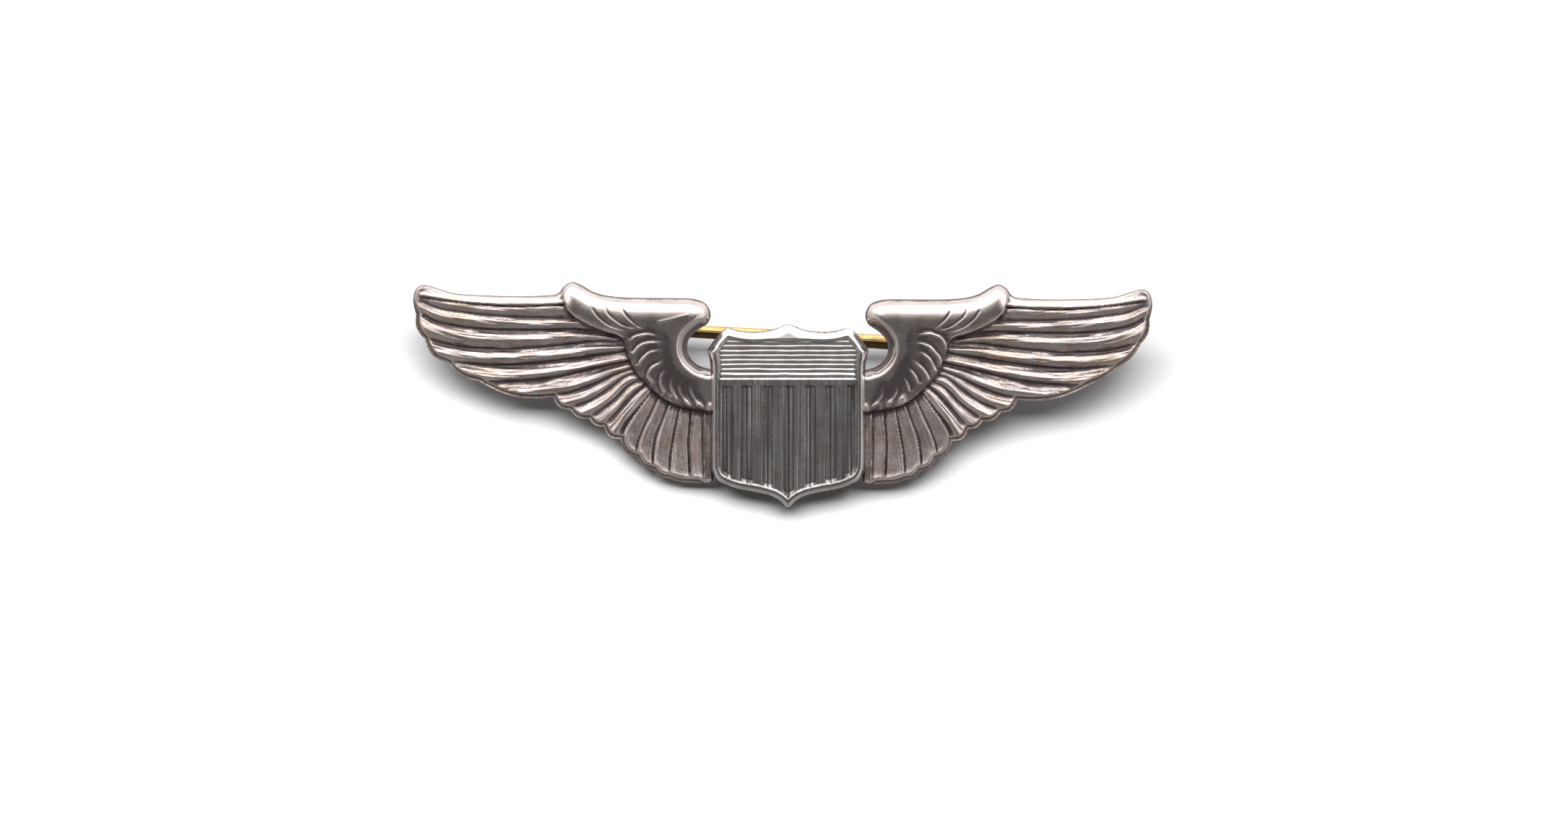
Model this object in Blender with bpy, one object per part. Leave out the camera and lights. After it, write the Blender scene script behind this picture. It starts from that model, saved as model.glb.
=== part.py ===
"""Pilot wings pin: two struck silver wings and a shield, with a hinged brass pin and a safety catch behind.

The badge stands upright, as it is worn. For someone who looks at its front, +X is to the right and +Z is up,
and the front faces -Y. The wings' flat backs lie in the plane y = 0: the relief is in front of it, and the
pin's findings are behind it. Every length below is in millimetres, and MM turns it into metres.
A wing is drawn once, with x running outwards from the middle of the badge.
"""

import math

import bmesh
import bpy
from mathutils import Vector
from mathutils.geometry import delaunay_2d_cdt

MM = 0.001

# Depths, measured forwards from the wings' flat backs
TAB_HEIGHT = 1.0
SOLDER_GAP = 0.02
SOLDER_THICKNESS = 0.08
SHIELD_BACK = TAB_HEIGHT + 2 * SOLDER_GAP + SOLDER_THICKNESS
SHIELD_FIELD = 2.2
SHIELD_RIM = 2.5

# The wings: the right one is a little shorter and hangs a little lower
WING_ROOT_X = 5.3
RIGHT_SPAN_SHARE = 0.965
RIGHT_DROP = 0.05
RIGHT_DROOP = 0.013
EDGE_HEIGHT = 0.95

# The pin line: the axis of the closed pin stem, behind the wings, a little lower at its hinge
PIN_LINE_Y = 2.1
PIN_LINE_Z = -0.01
PIN_LINE_TILT = math.radians(3.16)
HINGE_X = 14.0
CATCH_X = -14.0

# Hinge
BRACKET_LENGTH = 3.2
BRACKET_WIDTH = 2.5
SHEET = 0.35
EAR_THICKNESS = 0.45
EAR_GAP = 1.0
EAR_RADIUS = 0.8
EAR_HALF_FOOT = 1.05
RIVET_RADIUS = 0.32
RIVET_BORE = 0.36
RIVET_HEAD_RADIUS = 0.55
EYE_RADIUS = 0.78
EYE_THICKNESS = 0.9

# Catch
PATCH_RADIUS = 1.7
BARREL_RADIUS = 1.6
BARREL_LENGTH = 1.6
CAVITY_RADIUS = 1.15
CAVITY_LENGTH = 1.1
CHEEK_BORE = 0.62
HOUSING_SLOT = 1.1
WINDOW_HALF_ANGLE = math.radians(65)
WINDOW_LENGTH = 0.8
ROTOR_OUTER = 1.1
ROTOR_INNER = 0.6
ROTOR_LENGTH = 1.0
ROTOR_SLOT = 1.0
LEVER_ANGLE = math.radians(50)
LEVER_REACH = 2.6
LEVER_WIDTH = 0.7
LEVER_THICKNESS = 0.36

# The outline of a wing, from the inner end of its shoulder along the top to the feather tips and back
WING_TOP = [
    (5.35, 1.2), (5.3, 1.55), (5.42, 1.95), (5.7, 2.3), (6.2, 2.52), (7.0, 2.63), (9.0, 2.65), (11.0, 2.68),
    (12.4, 2.8), (13.4, 3.07), (14.2, 3.52), (14.85, 3.75), (15.4, 3.5), (15.75, 3.05), (16.3, 2.85),
    (18.5, 2.77), (21.0, 2.83), (23.0, 2.97), (24.3, 3.35), (25.2, 3.55), (25.7, 3.25), (25.88, 2.6),
]
TIP_NOTCHES = [
    (25.85, 2.2), (25.68, 1.5), (25.05, -0.22), (23.45, -1.85), (21.4, -3.08), (16.2, -4.22), (15.0, -5.12),
    (13.7, -5.72), (12.7, -6.25), (11.55, -7.12), (10.45, -8.4), (9.3, -9.28), (8.2, -9.85), (6.7, -10.15),
]
LEFT_TIP_BULGES = [0.02, 0.28, 0.4, 0.28, 0.52, 0.3, 0.24, 0.2, 0.32, 0.3, 0.22, 0.18, 0.1]
RIGHT_TIP_BULGES = [0.02, 0.24, 0.2, 0.12, 0.45, 0.3, 0.24, 0.2, 0.32, 0.3, 0.22, 0.18, 0.1]
WING_TAB = [(5.5, -10.22), (5.0, -10.05), (4.5, -9.7), (1.2, -9.5), (1.2, -3.2), (4.6, -2.7), (5.0, -2.3)]
WING_NOTCH = [
    (5.45, -2.24), (6.0, -2.08), (6.4, -1.83), (6.72, -1.5), (6.9, -1.1), (6.93, -0.7), (6.85, -0.3),
    (6.65, 0.02), (6.3, 0.36), (5.9, 0.62), (5.55, 0.85),
]

# The grooves between the feathers, each from root to tip, from the leading edge round to the shield
GROOVES = [
    [(15.95, 2.15), (18.5, 2.08), (21.5, 2.2), (24.0, 2.5), (25.4, 2.7)],
    [(15.1, 1.2), (17.5, 1.24), (20.0, 1.33), (22.0, 1.55), (24.0, 1.87), (25.35, 2.4)],
    [(12.9, 0.15), (14.5, 0.42), (17.5, 0.4), (20.0, 0.42), (22.5, 0.58), (24.2, 0.95), (25.35, 1.55)],
    [(11.5, -0.38), (13.5, -0.4), (16.0, -0.68), (19.0, -0.9), (22.0, -0.77), (23.8, -0.45), (24.75, -0.15)],
    [(11.2, -1.05), (13.0, -1.3), (15.5, -1.63), (18.0, -1.93), (20.5, -2.0), (22.3, -1.88), (23.2, -1.75)],
    [(11.0, -1.75), (13.0, -2.12), (15.0, -2.62), (17.0, -2.97), (19.0, -3.1), (20.3, -3.12), (21.1, -3.02)],
    [(10.8, -2.25), (12.0, -2.67), (13.5, -3.38), (15.0, -3.9), (16.0, -4.05)],
    [(10.45, -2.6), (11.2, -2.78), (12.3, -3.6), (13.5, -4.42), (14.85, -4.95)],
    [(10.1, -3.0), (11.0, -3.45), (12.0, -4.45), (12.9, -5.12), (13.6, -5.55)],
    [(9.9, -3.45), (10.6, -4.0), (11.4, -4.85), (12.1, -5.65), (12.6, -6.08)],
    [(9.5, -4.0), (10.2, -4.87), (10.9, -5.8), (11.3, -6.5), (11.45, -6.95)],
    [(9.0, -4.45), (9.5, -5.5), (10.0, -6.55), (10.35, -7.5), (10.4, -8.2)],
    [(8.25, -4.85), (8.7, -6.0), (9.1, -7.1), (9.27, -8.2), (9.27, -9.1)],
    [(7.5, -5.15), (7.7, -6.2), (7.92, -7.3), (8.08, -8.4), (8.15, -9.65)],
    [(6.65, -5.35), (6.72, -6.2), (6.8, -7.3), (6.75, -8.6), (6.65, -9.95)],
    [(5.8, -5.45), (5.82, -6.6), (5.82, -7.9), (5.77, -9.2), (5.7, -10.0)],
]
# Where each feather's crest lies between its two grooves, from the second feather on
CRESTS = [0.28, 0.48, 0.57, 0.56, 0.55, 0.66, 0.57, 0.58, 0.66, 0.57, 0.2, 0.2, 0.2, 0.2, 0.2]
GROOVE_HEIGHTS = (1.3, 1.0)
CREST_HEIGHTS = (1.75, 1.3)
FEATHER_STATIONS = 6

# Lines of the shoulder: each is a height and its points
SHOULDER_LINES = [
    (1.55, [(16.2, 2.42), (18.5, 2.33), (21.5, 2.38), (24.0, 2.66), (25.3, 2.95)]),
    (2.3, [(6.2, 1.45), (7.5, 1.45), (9.5, 1.62), (11.0, 1.72), (12.6, 2.1), (13.7, 2.35), (15.1, 2.65)]),
    (2.0, [(15.2, 1.75), (14.5, 1.22), (13.5, 0.72), (12.5, 0.32), (11.8, 0.14), (11.0, 0.16), (10.1, 0.2)]),
    (1.6, [(15.4, 1.6), (14.7, 1.02), (13.5, 0.5), (12.4, 0.12), (11.3, -0.05)]),
    (2.2, [(13.5, 1.95), (13.15, 1.45), (12.6, 0.95), (11.9, 0.58), (11.2, 0.45)]),
    (2.2, [(12.5, 1.8), (12.2, 1.4), (11.6, 0.9), (10.9, 0.64)]),
    (2.2, [(11.35, 1.55), (10.9, 1.15), (10.4, 0.78), (9.9, 0.57), (9.4, 0.56)]),
    (2.1, [(6.4, 0.95), (7.6, 0.5), (7.95, -0.6), (7.8, -1.8), (7.0, -2.85), (5.9, -3.1)]),
    (1.3, [(6.0, -5.2), (6.8, -5.05), (7.6, -4.85), (8.3, -4.5), (8.9, -4.1), (9.4, -3.6)]),
]
# The crescent edges of the small coverts, from under the shoulder round to the shield
CRESCENTS = [
    [(10.85, -0.35), (10.4, -0.05), (9.8, 0.07), (8.9, -0.1)],
    [(10.75, -1.35), (10.3, -0.8), (9.75, -0.52), (8.7, -0.5)],
    [(10.2, -2.15), (10.1, -1.75), (9.75, -1.3), (8.7, -1.0)],
    [(9.25, -3.2), (9.6, -2.8), (9.5, -2.35), (8.5, -1.65)],
    [(8.4, -4.0), (8.7, -3.5), (8.75, -3.0), (8.2, -2.3)],
    [(7.5, -4.4), (7.85, -3.9), (8.0, -3.4), (7.8, -2.85)],
    [(6.75, -4.7), (7.2, -4.2), (7.35, -3.6)],
    [(6.0, -4.8), (6.45, -4.3), (6.65, -3.75)],
]
CRESCENT_HEIGHT = 1.95
SEAT_X = 5.52

# The shield: half of its outline, from the middle of the top to the point at the bottom
SHIELD_CENTRE_X = 0.05
SHIELD_HALF = [
    (0.0, 0.83), (0.5, 0.68), (1.1, 0.45), (2.2, 0.3), (3.2, 0.36), (4.15, 0.58), (4.5, 0.4), (5.05, -0.2),
    (5.58, -0.98), (5.42, -1.6), (5.34, -2.3), (5.36, -4.0), (5.36, -8.6), (5.25, -9.4), (4.95, -9.93),
    (4.4, -10.28), (3.5, -10.6), (2.2, -10.84), (1.2, -11.1), (0.62, -11.42), (0.25, -11.78), (0.0, -11.9),
]
RIM_CREST_INSET = 0.3
RIM_FOOT_INSET = 0.62
CHIEF_BARS = 8
CHIEF_TOP = -0.73
CHIEF_PITCH = 0.318
CHIEF_HALF_WIDTH = 4.55
CHIEF_RISE = 0.22
CHIEF_HALF_BAR = 0.1
PALE_COUNT = 7
PALE_PITCH = 1.45
PALE_WIDTH = 0.8
PALE_TOP = -3.35
PALE_DEPTH = 0.18
PALE_WALL = 0.1


def clear_scene():
    """Removes the objects that the file opened with."""
    for item in list(bpy.data.objects):
        bpy.data.objects.remove(item, do_unlink=True)


def make_metal(name, colour, roughness):
    """A metal of one colour."""
    material = bpy.data.materials.new(name)
    material.use_nodes = True
    shader = material.node_tree.nodes["Principled BSDF"]
    shader.inputs["Base Color"].default_value = (*colour, 1.0)
    shader.inputs["Metallic"].default_value = 1.0
    shader.inputs["Roughness"].default_value = roughness
    return material


def add_object(name, form, material=None, parent=None, location=(0.0, 0.0, 0.0)):
    """Turns a bmesh in millimetres into a named object, smooth except at its sharp edges."""
    bmesh.ops.recalc_face_normals(form, faces=form.faces)
    bmesh.ops.scale(form, vec=(MM, MM, MM), verts=form.verts)
    mesh = bpy.data.meshes.new(name)
    form.to_mesh(mesh)
    form.free()
    item = bpy.data.objects.new(name, mesh)
    bpy.context.scene.collection.objects.link(item)
    item.location = Vector(location) * MM
    item.parent = parent
    mesh.shade_smooth()
    mesh.set_sharp_from_angle(angle=math.radians(30))
    if material:
        mesh.materials.append(material)
    return item


def add_cutter(name, form, parent, location):
    """An object that only shapes another one."""
    item = add_object(name, form, None, parent, location)
    item.hide_render = True
    item.display_type = "WIRE"
    return item


def combine(target, tool, operation):
    """Joins the tool to the target, or cuts it away."""
    modifier = target.modifiers.new(tool.name, "BOOLEAN")
    modifier.operation = operation
    modifier.object = tool


def turned(profile, axis, segments):
    """A solid of revolution about X or Z: profile is a list of (distance along the axis, radius)."""
    form = bmesh.new()
    rings = []
    for along, radius in profile:
        ring = []
        count = segments if radius > 0 else 1
        for index in range(count):
            angle = 2 * math.pi * index / segments
            across = radius * math.cos(angle)
            up = radius * math.sin(angle)
            place = (along, across, up) if axis == "X" else (across, up, along)
            ring.append(form.verts.new(place))
        rings.append(ring)
    for first, second in zip(rings, rings[1:]):
        for index in range(segments):
            following = (index + 1) % segments
            if len(first) == 1:
                form.faces.new((first[0], second[index], second[following]))
            elif len(second) == 1:
                form.faces.new((first[index], second[0], first[following]))
            else:
                form.faces.new((first[index], second[index], second[following], first[following]))
    for ring in (rings[0], rings[-1]):
        if len(ring) > 1:
            form.faces.new(ring)
    return form


def cylinder(radius, length, axis, segments=32):
    """A plain round bar centred on the origin."""
    return turned([(-length / 2, radius), (length / 2, radius)], axis, segments)


def prism(outline, low, high, axis):
    """An outline pushed along an axis: (y, z) outlines along X, (x, z) along Y and (x, y) along Z."""
    form = bmesh.new()
    ends = []
    for level in (low, high):
        ring = []
        for a, b in outline:
            place = {"X": (level, a, b), "Y": (a, level, b), "Z": (a, b, level)}[axis]
            ring.append(form.verts.new(place))
        ends.append(ring)
    for index in range(len(outline)):
        following = (index + 1) % len(outline)
        form.faces.new((ends[0][index], ends[0][following], ends[1][following], ends[1][index]))
    form.faces.new(ends[0])
    form.faces.new(ends[1])
    return form


def rectangle(low_a, high_a, low_b, high_b):
    """The four corners of a rectangle."""
    return [(low_a, low_b), (high_a, low_b), (high_a, high_b), (low_a, high_b)]


def arc(centre, radius, start, end, steps):
    """Points on an arc, from one angle to another."""
    points = []
    for step in range(steps + 1):
        angle = start + (end - start) * step / steps
        points.append((centre[0] + radius * math.cos(angle), centre[1] + radius * math.sin(angle)))
    return points


def smooth_curve(points, steps):
    """Catmull-Rom points through a list of points, with a number of steps to each span."""
    path = [Vector(point) for point in points]
    path.insert(0, 2 * path[0] - path[1])
    path.append(2 * path[-1] - path[-2])
    curve = []
    for index in range(1, len(path) - 2):
        before, start, end, after = path[index - 1:index + 3]
        for step in range(steps):
            t = step / steps
            square = (2 * before - 5 * start + 4 * end - after) * t ** 2
            cube = (3 * start - before - 3 * end + after) * t ** 3
            curve.append(0.5 * (2 * start + (end - before) * t + square + cube))
    curve.append(path[-2])
    return curve


def sample(curve, share):
    """The point that lies at a share of the way along a list of points."""
    place = share * (len(curve) - 1)
    index = min(int(place), len(curve) - 2)
    return curve[index].lerp(curve[index + 1], place - index)


def blend(pair, share):
    """A value between two others."""
    return pair[0] + (pair[1] - pair[0]) * share


def nearest_point(points, place):
    """The number of the point that lies nearest to a place."""
    return min(range(len(points)), key=lambda index: (points[index] - place).length)


def relief_plate(outline, edge_height, lines, back):
    """A plate with a flat back at y = -back, whose front is stretched over its outline and the given lines.

    The outline is a list of (x, z). A line is a list of (x, z, height), its height measured from y = 0."""
    points = [Vector(point) for point in outline]
    heights = [edge_height] * len(outline)
    edges = []
    for line in lines:
        first = len(points)
        points.extend(Vector((x, z)) for x, z, _ in line)
        heights.extend(height for _, _, height in line)
        edges.extend((index, index + 1) for index in range(first, len(points) - 1))
    rim = list(range(len(outline)))
    flat, _, faces, origins, _, _ = delaunay_2d_cdt(points, edges, [rim], 1, 1e-5)
    form = bmesh.new()
    front = []
    number = {}
    for index, (place, sources) in enumerate(zip(flat, origins)):
        nearest = sources[0] if sources else nearest_point(points, place)
        front.append(form.verts.new((place.x, -heights[nearest], place.y)))
        for source in sources:
            number[source] = index
    for face in faces:
        form.faces.new([front[index] for index in face])
    behind = [form.verts.new((x, -back, z)) for x, z in outline]
    for index in rim:
        following = (index + 1) % len(rim)
        top = front[number[index]]
        next_top = front[number[following]]
        form.faces.new((top, behind[index], behind[following], next_top))
    form.faces.new(behind)
    return form


def wing_outline(side):
    """The whole outline of a wing: shoulder, scalloped feather tips, hidden tab and inner notch."""
    outline = list(WING_TOP)
    bulges = LEFT_TIP_BULGES if side < 0 else RIGHT_TIP_BULGES
    for start, end, bulge in zip(TIP_NOTCHES, TIP_NOTCHES[1:], bulges):
        chord = Vector(end) - Vector(start)
        outwards = Vector((-chord.y, chord.x)).normalized()
        if outwards.dot(Vector(start) - Vector((12.0, 2.0))) < 0:
            outwards = -outwards
        steps = 4 if chord.length > 1.0 else 2
        for step in range(steps):
            share = step / steps
            bow = outwards * bulge * math.sin(math.pi * share)
            outline.append(tuple(Vector(start) + chord * share + bow))
    outline.append(TIP_NOTCHES[-1])
    return outline + WING_TAB + WING_NOTCH


def feather_lines():
    """The groove and crest lines of every feather."""
    curves = [smooth_curve(groove, 6) for groove in GROOVES]
    lines = []
    shares = [station / (FEATHER_STATIONS - 1) for station in range(FEATHER_STATIONS)]
    for curve in curves:
        lines.append([(*sample(curve, share), blend(GROOVE_HEIGHTS, share)) for share in shares])
    for upper, lower, crest in zip(curves, curves[1:], CRESTS):
        line = []
        for share in shares[:-1] + [0.95]:
            place = sample(upper, share).lerp(sample(lower, share), crest)
            line.append((*place, blend(CREST_HEIGHTS, share)))
        lines.append(line)
    return lines


def shoulder_lines():
    """The lines of the smooth shoulder, the crescent edges of the coverts, and the seat of the shield."""
    lines = []
    for height, points in SHOULDER_LINES:
        lines.append([(x, z, height) for x, z in points])
    for crescent in CRESCENTS:
        lines.append([(x, z, CRESCENT_HEIGHT) for x, z in crescent])
    lines.append([(SEAT_X, z, TAB_HEIGHT) for z in (-2.5, -3.5, -6.0, -8.0, -10.0)])
    return lines


def place_wing(point, side):
    """Carries a wing's own (x outwards, z) to the badge, for side -1 (left) or +1 (right)."""
    x, z = point[:2]
    if side < 0:
        return (-x, z, *point[2:])
    out = x - WING_ROOT_X
    return (WING_ROOT_X + 0.1 + out * RIGHT_SPAN_SHARE, z - RIGHT_DROP - RIGHT_DROOP * out, *point[2:])


def make_wing(name, side, material):
    """One struck wing, with the tab that runs behind the shield."""
    outline = [place_wing(point, side) for point in wing_outline(side)]
    if side > 0:
        outline.reverse()
    lines = [[place_wing(point, side) for point in line] for line in feather_lines() + shoulder_lines()]
    return add_object(name, relief_plate(outline, EDGE_HEIGHT, lines, 0.0), material)


def inset(outline, distance):
    """An outline moved inwards along its corner normals. The outline runs clockwise."""
    moved = []
    count = len(outline)
    for index in range(count):
        here = Vector(outline[index])
        before = (here - Vector(outline[index - 1])).normalized()
        after = (Vector(outline[(index + 1) % count]) - here).normalized()
        normal = Vector((before.y + after.y, -before.x - after.x)).normalized()
        corner = max(0.6, normal.dot(Vector((before.y, -before.x))))
        moved.append(tuple(here + normal * distance / corner))
    return moved


def closed(points, height):
    """A ring of one height, which ends at the point it starts from."""
    ring = [(x, z, height) for x, z in points]
    return ring + [ring[0]]


def shield_outline():
    """The whole outline of the shield, clockwise from the middle of its top."""
    right = [(SHIELD_CENTRE_X + x, z) for x, z in SHIELD_HALF]
    left = [(SHIELD_CENTRE_X - x, z) for x, z in reversed(SHIELD_HALF[1:-1])]
    return right + left


def chief_lines():
    """The plain bars across the top of the shield."""
    lines = []
    left = SHIELD_CENTRE_X - CHIEF_HALF_WIDTH
    right = SHIELD_CENTRE_X + CHIEF_HALF_WIDTH
    for bar in range(CHIEF_BARS):
        middle = CHIEF_TOP - bar * CHIEF_PITCH
        for shift, rise in ((CHIEF_HALF_BAR, 0.0), (0.0, CHIEF_RISE), (-CHIEF_HALF_BAR, 0.0)):
            z = middle + shift
            lines.append([(left, z, SHIELD_FIELD + rise), (right, z, SHIELD_FIELD + rise)])
    return lines


def pale_lines():
    """The sunk upright bands of the shield, each an outer ring on the field and a ring on its floor."""
    lines = []
    for pale in range(PALE_COUNT):
        middle = (pale - (PALE_COUNT - 1) / 2) * PALE_PITCH
        x = SHIELD_CENTRE_X + middle
        bottom = -10.35 + 0.25 * abs(middle) / PALE_PITCH
        for shrink, height in ((0.0, SHIELD_FIELD), (PALE_WALL, SHIELD_FIELD - PALE_DEPTH)):
            half = PALE_WIDTH / 2 - shrink
            corners = rectangle(x - half, x + half, bottom + shrink, PALE_TOP - shrink)
            lines.append(closed(corners, height))
    return lines


def make_shield(material):
    """The struck shield, which laps over the tabs of both wings."""
    outline = shield_outline()
    crest = closed(inset(outline, RIM_CREST_INSET), SHIELD_RIM)
    foot = closed(inset(outline, RIM_FOOT_INSET), SHIELD_FIELD)
    lines = [crest, foot] + chief_lines() + pale_lines()
    outline.reverse()
    return add_object("shield", relief_plate(outline, SHIELD_RIM - 0.3, lines, SHIELD_BACK), material)


def make_shield_solder(material):
    """The solder that holds the shield on the two tabs."""
    outline = [(-4.3, -9.2), (4.3, -9.2), (4.4, -3.6), (2.0, -3.3), (-2.0, -3.3), (-4.4, -3.6)]
    front = -(TAB_HEIGHT + SOLDER_GAP + SOLDER_THICKNESS)
    return add_object("shield_solder", prism(outline, front, -(TAB_HEIGHT + SOLDER_GAP), "Y"), material)


def make_pin_line():
    """The empty that carries the findings: its X axis runs along the closed pin stem, towards the hinge."""
    line = bpy.data.objects.new("pin_line", None)
    bpy.context.scene.collection.objects.link(line)
    line.location = (0.0, PIN_LINE_Y * MM, PIN_LINE_Z * MM)
    line.rotation_euler = (0.0, PIN_LINE_TILT, 0.0)
    return line


def make_hinge(line, silver, solder, brass):
    """The bracket with its solder and its rivet."""
    here = (HINGE_X, 0.0, 0.0)
    solder_low = SOLDER_GAP - PIN_LINE_Y
    solder_high = solder_low + SOLDER_THICKNESS
    base_low = solder_high + SOLDER_GAP
    base_high = base_low + SHEET
    half_length = BRACKET_LENGTH / 2
    half_width = BRACKET_WIDTH / 2
    corner = 0.5
    pad = []
    for x, z, start in ((1, 1, 0), (-1, 1, 90), (-1, -1, 180), (1, -1, 270)):
        centre = (x * (half_length + 0.15 - corner), z * (half_width + 0.15 - corner))
        pad += arc(centre, corner, math.radians(start), math.radians(start + 90), 4)
    add_object("hinge_solder", prism(pad, solder_low, solder_high, "Y"), solder, line, here)

    base = prism(rectangle(-half_length, half_length, -half_width, half_width), base_low, base_high, "Y")
    bracket = add_object("hinge_bracket", base, silver, line, here)
    foot = base_high - 0.1
    ear_top = arc((0.0, 0.0), EAR_RADIUS, math.radians(-10), math.radians(190), 12)
    ear = [(EAR_HALF_FOOT, foot)] + ear_top + [(-EAR_HALF_FOOT, foot)]
    for name, side in (("upper_ear", 1), ("lower_ear", -1)):
        inner = side * EAR_GAP / 2
        outer = side * (EAR_GAP / 2 + EAR_THICKNESS)
        tool = add_cutter(name, prism(ear, min(inner, outer), max(inner, outer), "Z"), line, here)
        combine(bracket, tool, "UNION")
    combine(bracket, add_cutter("bracket_bore", cylinder(RIVET_BORE, 4.0, "Z"), line, here), "DIFFERENCE")

    seat = EAR_GAP / 2 + EAR_THICKNESS + 0.03
    head = [(0.24, 0.0), (0.21, 0.3), (0.1, 0.5), (0.0, RIVET_HEAD_RADIUS), (0.0, RIVET_RADIUS)]
    head = [(seat + rise, radius) for rise, radius in head]
    profile = [(-along, radius) for along, radius in head] + list(reversed(head))
    add_object("hinge_rivet", turned(profile, "Z", 24), brass, line, here)


def make_pin_stem(line, brass):
    """The tapered wire with its flattened eye. Its origin is on the rivet's axis."""
    here = (HINGE_X, 0.0, 0.0)
    profile = [
        (-0.45, 0.4), (-1.2, 0.44), (-1.9, 0.52), (-14.0, 0.48), (-26.5, 0.41), (-29.0, 0.37), (-30.3, 0.22),
        (-31.2, 0.06), (-31.3, 0.0),
    ]
    stem = add_object("pin_stem", turned(profile, "X", 20), brass, line, here)
    combine(stem, add_cutter("stem_eye", cylinder(EYE_RADIUS, EYE_THICKNESS, "Z"), line, here), "UNION")
    combine(stem, add_cutter("eye_bore", cylinder(RIVET_BORE, 2.0, "Z"), line, here), "DIFFERENCE")


def make_catch(line, silver, solder, brass):
    """The patch, its solder, the slotted barrel and the turning ring with its thumb lever."""
    here = (CATCH_X, 0.0, 0.0)
    solder_low = SOLDER_GAP - PIN_LINE_Y
    solder_high = solder_low + SOLDER_THICKNESS
    patch_low = solder_high + SOLDER_GAP
    patch_high = patch_low + SHEET
    round_pad = arc((0.0, 0.0), PATCH_RADIUS + 0.15, 0.0, 2 * math.pi * 23 / 24, 23)
    add_object("catch_solder", prism(round_pad, solder_low, solder_high, "Y"), solder, line, here)
    patch = arc((0.0, 0.0), PATCH_RADIUS, 0.0, 2 * math.pi * 23 / 24, 23)
    add_object("catch_base", prism(patch, patch_low, patch_high, "Y"), silver, line, here)

    barrel = cylinder(BARREL_RADIUS, BARREL_LENGTH, "X", 40)
    housing = add_object("catch_housing", barrel, silver, line, here)
    foot = prism(rectangle(-0.75, 0.75, -1.0, 1.0), patch_high + SOLDER_GAP, -0.6, "Y")
    combine(housing, add_cutter("housing_foot", foot, line, here), "UNION")
    cavity = cylinder(CAVITY_RADIUS, CAVITY_LENGTH, "X", 36)
    combine(housing, add_cutter("housing_cavity", cavity, line, here), "DIFFERENCE")
    bore = cylinder(CHEEK_BORE, 3.0, "X", 24)
    combine(housing, add_cutter("cheek_bore", bore, line, here), "DIFFERENCE")
    half_slot = HOUSING_SLOT / 2
    slot = prism(rectangle(0.0, 3.0, -half_slot, half_slot), -2.0, 2.0, "X")
    combine(housing, add_cutter("housing_slot", slot, line, here), "DIFFERENCE")
    window = [(0.3, 0.0)] + arc((0.0, 0.0), 2.4, -WINDOW_HALF_ANGLE, WINDOW_HALF_ANGLE, 8)
    opening = prism(window, -WINDOW_LENGTH / 2, WINDOW_LENGTH / 2, "X")
    combine(housing, add_cutter("lever_window", opening, line, here), "DIFFERENCE")

    rotor = add_object("catch_rotor", cylinder(ROTOR_OUTER, ROTOR_LENGTH, "X", 36), brass, line, here)
    half = LEVER_THICKNESS / 2
    reach = LEVER_REACH - half
    paddle = [(0.8, -half)] + arc((reach, 0.0), half, -math.pi / 2, math.pi / 2, 6) + [(0.8, half)]
    turn = math.cos(LEVER_ANGLE), math.sin(LEVER_ANGLE)
    leaned = [(a * turn[0] - b * turn[1], a * turn[1] + b * turn[0]) for a, b in paddle]
    lever = add_cutter("thumb_lever", prism(leaned, -LEVER_WIDTH / 2, LEVER_WIDTH / 2, "X"), line, here)
    combine(rotor, lever, "UNION")
    combine(rotor, add_cutter("rotor_bore", cylinder(ROTOR_INNER, 3.0, "X", 28), line, here), "DIFFERENCE")
    half_slot = ROTOR_SLOT / 2
    slot = prism(rectangle(0.0, 3.0, -half_slot, half_slot), -2.0, 2.0, "X")
    combine(rotor, add_cutter("rotor_slot", slot, line, here), "DIFFERENCE")


def main():
    clear_scene()
    silver = make_metal("struck_silver", (0.62, 0.59, 0.57), 0.28)
    plated = make_metal("plated_findings", (0.55, 0.53, 0.5), 0.35)
    solder = make_metal("solder", (0.5, 0.5, 0.5), 0.5)
    brass = make_metal("brass", (0.72, 0.5, 0.2), 0.3)
    make_wing("left_wing", -1, silver)
    make_wing("right_wing", 1, silver)
    make_shield(silver)
    make_shield_solder(solder)
    line = make_pin_line()
    make_hinge(line, plated, solder, brass)
    make_pin_stem(line, brass)
    make_catch(line, plated, solder, brass)


main()
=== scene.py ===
"""The looks of the pilot wings pin: struck silver wings and shield, with brass and plated findings behind.

Lengths are in millimetres until MM turns them into metres. A wing is drawn once, with x running outwards
from the middle of the badge and z upwards, and is then carried to its left or right place.
"""

import math

import bmesh
import bpy
import numpy as np
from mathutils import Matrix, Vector

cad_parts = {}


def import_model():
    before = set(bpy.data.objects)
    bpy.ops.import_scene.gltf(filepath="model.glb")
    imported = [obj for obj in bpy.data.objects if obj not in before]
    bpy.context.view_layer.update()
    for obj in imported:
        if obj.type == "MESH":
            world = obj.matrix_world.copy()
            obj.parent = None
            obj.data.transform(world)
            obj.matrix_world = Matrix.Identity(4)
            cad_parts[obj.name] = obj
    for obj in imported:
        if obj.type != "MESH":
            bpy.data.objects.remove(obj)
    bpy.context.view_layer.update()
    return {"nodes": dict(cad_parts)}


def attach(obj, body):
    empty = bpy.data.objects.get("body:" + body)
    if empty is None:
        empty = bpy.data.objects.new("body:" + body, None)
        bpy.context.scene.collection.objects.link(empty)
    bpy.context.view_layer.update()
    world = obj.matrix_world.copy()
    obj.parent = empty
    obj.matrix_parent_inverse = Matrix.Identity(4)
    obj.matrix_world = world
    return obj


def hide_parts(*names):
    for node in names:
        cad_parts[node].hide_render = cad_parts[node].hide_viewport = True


MM = 0.001

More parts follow.
